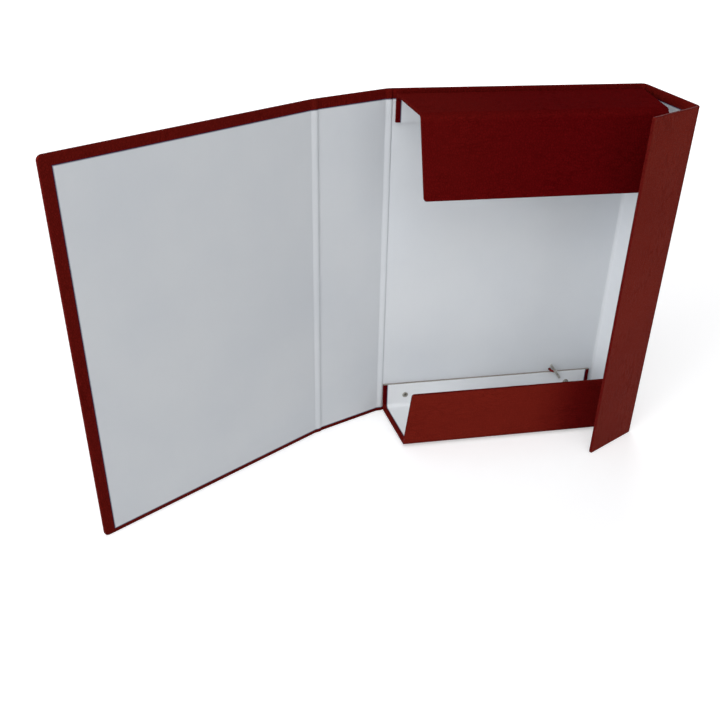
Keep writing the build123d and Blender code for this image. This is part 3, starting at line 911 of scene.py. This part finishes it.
def sleeve_surface(length, bore, radius):
    """Crimped ferrule: a closed wall section carried round the cord, pinched by four dents at mid length."""
    rim = np.linspace(0, 2 * math.pi, 16, endpoint=False)
    corner = 0.25
    share = 0.5 + 0.5 * np.sign(np.cos(rim)) * np.abs(np.cos(rim)) ** corner
    wall = 0.5 + 0.5 * np.sign(np.sin(rim)) * np.abs(np.sin(rim)) ** corner
    turn = np.linspace(0, 2 * math.pi, 32, endpoint=False)[:, None]
    dent = 0.12 * np.exp(-(((share - 0.5) / 0.2) ** 2)) * wall * np.cos(2 * turn) ** 8
    reach = bore + (radius - bore) * wall - radius * dent
    return np.stack(np.broadcast_arrays(share * length, reach * np.cos(turn), reach * np.sin(turn)), -1)


def placed(points, origin, along, normal):
    """Points of a piece whose own X goes along, own Z to the normal, moved to the origin."""
    side = np.cross(normal, along)
    return origin + points[..., :1] * along + points[..., 1:2] * side + points[..., 2:] * normal


def dress_t_bar(level, up, height):
    """T-bar and cord end at one hole: bar across, ferrule behind it, and the cord coming out of the hole."""
    angle = math.radians(STUB_ANGLE)
    stub = np.array([math.cos(angle), 0, -up * math.sin(angle)])
    corner = np.array([CORD_X, STUB_FACE, height])
    middle = corner + STUB_REACH * stub
    lean = math.radians(up * BAR_ANGLE)
    lengthwise = np.array([math.cos(lean), 0, -math.sin(lean)])
    flat = placed(bar_surface(BAR_LENGTH, BAR_WIDTH, BAR_THICK), middle, lengthwise, -Y)
    bar = surface_mesh(f"{level}_t_bar_plated", flat)
    sleeve = sleeve_surface(SLEEVE_LENGTH + BAR_WIDTH / 2, CORD_RADIUS, SLEEVE_RADIUS)
    wall = placed(sleeve, middle - SLEEVE_LENGTH * stub, stub, -Y)
    ferrule = surface_mesh(f"{level}_ferrule", wall, closed_along=True)
    mouth = (CORD_X, LEG_FACE - CORD_JOINT_GAP, height)
    end = braided_cord(f"{level}_cord_end_braid", [mouth, corner, middle], CORD_RADIUS)
    end.data.materials.append(braid)
    for piece in (bar, ferrule):
        piece.data.materials.append(nickel)
    for piece, slot in ((bar, "nickel"), (ferrule, "nickel"), (end, "red_elastic")):
        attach(piece, f"{level}_t_bar")
    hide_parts(f"{level}_t_bar")
    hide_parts(f"{level}_cord_end")


nickel = nickel_plate("bar_nickel", 0.0)
dress_t_bar("upper", 1, HIGH_HOLE)
dress_t_bar("lower", -1, LOW_HOLE)


def give(node, material):
    """Puts a material on a carried-over part of the frame."""
    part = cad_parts[node]
    part.data.materials.clear()
    part.data.materials.append(material)


board_finish = greyboard()
for name, board in boards.items():
    give(f"{name}_board", board_finish)
    red = leatherette(f"{name}_leatherette", board.sheet_place, rims[name], **leather_look(name))
    give(f"{name}_covering", red)
    give(f"{name}_lining", lining_paper(f"{name}_paper", board.sheet_place, rims[name], painted_fill_light(name)))
rivet_nickel = nickel_plate("rivet_nickel", RIVET_DULLNESS)
for level in ("upper", "lower"):
    give(f"{level}_rivet_posts", rivet_nickel)
    give(f"{level}_rivet_caps", rivet_nickel)


def floor_finish(colour, near_lift, far_lift, fade):
    """Pale studio floor: diffuse to the light, and lifted towards white for the camera and for reflections.

    The lift grows from near_lift to far_lift over the fade distances from the middle.
    """
    finish = new_finish("pale_floor")
    diffuse = finish.node("ShaderNodeBsdfDiffuse", None, {"Color": colour})
    here = finish.object_place()
    distance = finish.node("ShaderNodeVectorMath", {"operation": "LENGTH"}, {0: here}, out=1)
    strength = finish.rise(distance, *fade) * (far_lift - near_lift) + near_lift
    lift = finish.node("ShaderNodeEmission", None, {"Color": WHITE, "Strength": strength})
    both = finish.node("ShaderNodeAddShader", None, {0: diffuse, 1: lift})
    shader = finish.node("ShaderNodeMixShader", None, {0: finish.seen_share(), 1: diffuse, 2: both})
    finish.node("ShaderNodeOutputMaterial", None, {"Surface": shader})
    return finish.owner


FLOOR_REACH = 12.0
FLOOR_COLOUR = paint(230, 230, 231)
NEAR_LIFT = 0.4
FAR_LIFT = 1.0
LIFT_FADE = (0.5, 2.5)

floor_corners = np.array([[[-1, -1, 0], [1, -1, 0]], [[-1, 1, 0], [1, 1, 0]]]) * FLOOR_REACH
floor = surface_mesh("floor", floor_corners, closed_round=False, capped=False)
floor.data.materials.append(floor_finish(FLOOR_COLOUR, NEAR_LIFT, FAR_LIFT, LIFT_FADE))


def soft_lamp(name, at, target, size, watts):
    """White square softbox at a point, facing a target."""
    lamp = bpy.data.lights.new(name, "AREA")
    lamp.shape = "SQUARE"
    lamp.size = size
    lamp.energy = watts
    holder = bpy.data.objects.new(name, lamp)
    holder.location = at
    holder.rotation_euler = (Vector(target) - Vector(at)).to_track_quat("-Z", "Y").to_euler()
    bpy.context.scene.collection.objects.link(holder)


soft_lamp("left_softbox", (-1.9, -1.2, 0.7), (0.05, 0, 0.12), 1.2, 30)
soft_lamp("high_softbox", (-0.5, -1.2, 2.1), (0, 0, 0.1), 1.4, 19.5)
soft_lamp("right_softbox", (1.0, -2.0, 1.1), (0, 0, 0.15), 1.2, 6)
soft_lamp("rear_softbox", (0.5, 2.3, 1.7), (0, 0, 0.15), 1.8, 34)

WORLD_LIGHT = 0.27
SKY_COLOUR = (0.97, 0.985, 1, 1)

world = bpy.data.worlds.new("studio")
air = Finish(world)
light = air.node("ShaderNodeBackground", None, {"Color": SKY_COLOUR, "Strength": WORLD_LIGHT})
shown = air.node("ShaderNodeBackground", None, {"Color": WHITE, "Strength": 1.0})
sky = air.node("ShaderNodeMixShader", None, {0: air.seen_share(), 1: light, 2: shown})
air.node("ShaderNodeOutputWorld", None, {"Surface": sky})
bpy.context.scene.world = world
bpy.context.scene.view_settings.view_transform = "Standard"

# Camera: focal length and sensor width in millimetres, place in metres, turn in degrees
FOCAL_LENGTH = 43.5
SENSOR_WIDTH = 36
LENS_SHIFT = (-0.031, -0.002)
CAMERA_PLACE = (-0.2830, -0.7766, 0.5487)
CAMERA_TURN = (58.645, -1.652, -10.774)

eye = bpy.data.cameras.new("camera")
eye.lens = FOCAL_LENGTH
eye.sensor_width = SENSOR_WIDTH
eye.shift_x, eye.shift_y = LENS_SHIFT
camera = bpy.data.objects.new("camera", eye)
camera.location = CAMERA_PLACE
camera.rotation_euler = [math.radians(angle) for angle in CAMERA_TURN]
bpy.context.scene.collection.objects.link(camera)
bpy.context.scene.camera = camera
